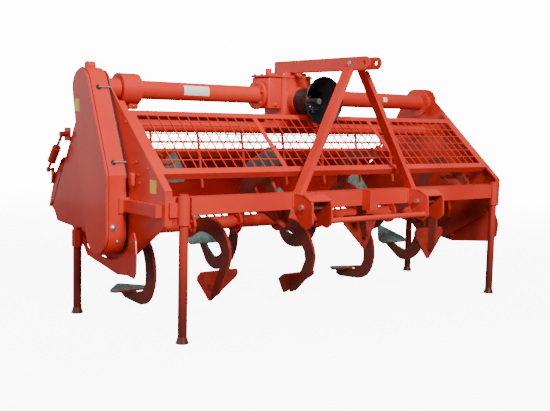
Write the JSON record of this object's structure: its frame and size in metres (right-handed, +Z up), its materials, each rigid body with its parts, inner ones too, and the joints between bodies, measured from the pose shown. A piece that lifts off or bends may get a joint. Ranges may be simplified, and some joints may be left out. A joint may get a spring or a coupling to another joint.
{
  "type": "rotary spading machine",
  "caption": "Tractor-mounted rotary spading machine with a spade rotor between side plates, mesh guards, chain case, tailgate comb and parking stands.",
  "frame": {"origin": "middle of the whole machine's box, on the floor that its four stands stand on", "axes": "+X along the working width to the machine's left-hand side seen from the tractor seat looking back, +Y away from the tractor, +Z up"},
  "size_m": [2.7294, 1.5534, 1.442],
  "materials": {
    "red_paint": "gloss orange-red",
    "spade_paint": "gloss red on forged steel",
    "dark_steel": "dull spring steel",
    "bright_steel": "bright zinc",
    "black_plastic": "smooth black"
  },
  "bodies": {
    "frame": {"left_side_plate": "red_paint", "right_side_plate": "red_paint", "front_beam": "red_paint", "beam_socket": "red_paint", "front_guard_frame": "red_paint", "front_mesh": "red_paint", "rear_rails": "red_paint", "rear_mesh": "red_paint", "main_tube": "red_paint", "stripper_rods": "red_paint", "left_mast_plate": "red_paint", "right_mast_plate": "red_paint", "left_mast_leg": "red_paint", "right_mast_leg": "red_paint", "left_hitch_bracket": "red_paint", "right_hitch_bracket": "red_paint", "link_pins": "bright_steel", "hitch_bar": "red_paint", "gearbox": "red_paint", "gearbox_lid": "red_paint", "gearbox_seat": "red_paint", "shaft_guard": "black_plastic", "left_drive_tube": "red_paint", "right_support_tube": "red_paint", "chain_case": "red_paint", "chain_case_cover": "red_paint", "case_spacers": "red_paint", "left_side_arm": "red_paint", "rotor_bearings": "red_paint", "front_sleeves": "red_paint", "rear_sleeves": "red_paint", "left_soil_shield": "red_paint", "right_soil_shield": "red_paint", "gate_adjusters": "red_paint"},
    "rotor": {"rotor_tube": "red_paint", "left_spades": "spade_paint", "middle_spades": "spade_paint", "right_spades": "spade_paint"},
    "input": {"input_shaft": "bright_steel"},
    "tailgate": {"tailgate_skin": "red_paint", "tailgate_cheeks": "red_paint", "tailgate_comb": "dark_steel", "tailgate_arms": "red_paint"},
    "left_front_stand": {"left_front_stand": "red_paint"},
    "right_front_stand": {"right_front_stand": "red_paint"},
    "left_rear_stand": {"left_rear_stand": "red_paint"},
    "right_rear_stand": {"right_rear_stand": "red_paint"}
  },
  "joints": [
    {"name": "rotor_spin", "type": "hinge", "parent": "frame", "child": "rotor", "pos_m": [0.00527, -0.10126, 0.502], "axis": [1, 0, 0], "continuous": true},
    {"name": "input_spin", "type": "hinge", "parent": "frame", "child": "input", "pos_m": [0.00527, -0.22126, 1.2], "axis": [0, 1, 0], "continuous": true},
    {"name": "tailgate_hinge", "type": "hinge", "parent": "frame", "child": "tailgate", "pos_m": [0.00527, 0.51723, 0.84262], "axis": [1, 0, 0], "range_deg": [0, 45]},
    {"name": "left_front_stand_slide", "type": "slide", "parent": "frame", "child": "left_front_stand", "axis": [0, 0, 1], "range_m": [0, 0.3]},
    {"name": "right_front_stand_slide", "type": "slide", "parent": "frame", "child": "right_front_stand", "axis": [0, 0, 1], "range_m": [0, 0.3]},
    {"name": "left_rear_stand_slide", "type": "slide", "parent": "frame", "child": "left_rear_stand", "axis": [0, 0, 1], "range_m": [0, 0.3]},
    {"name": "right_rear_stand_slide", "type": "slide", "parent": "frame", "child": "right_rear_stand", "axis": [0, 0, 1], "range_m": [0, 0.3]}
  ]
}
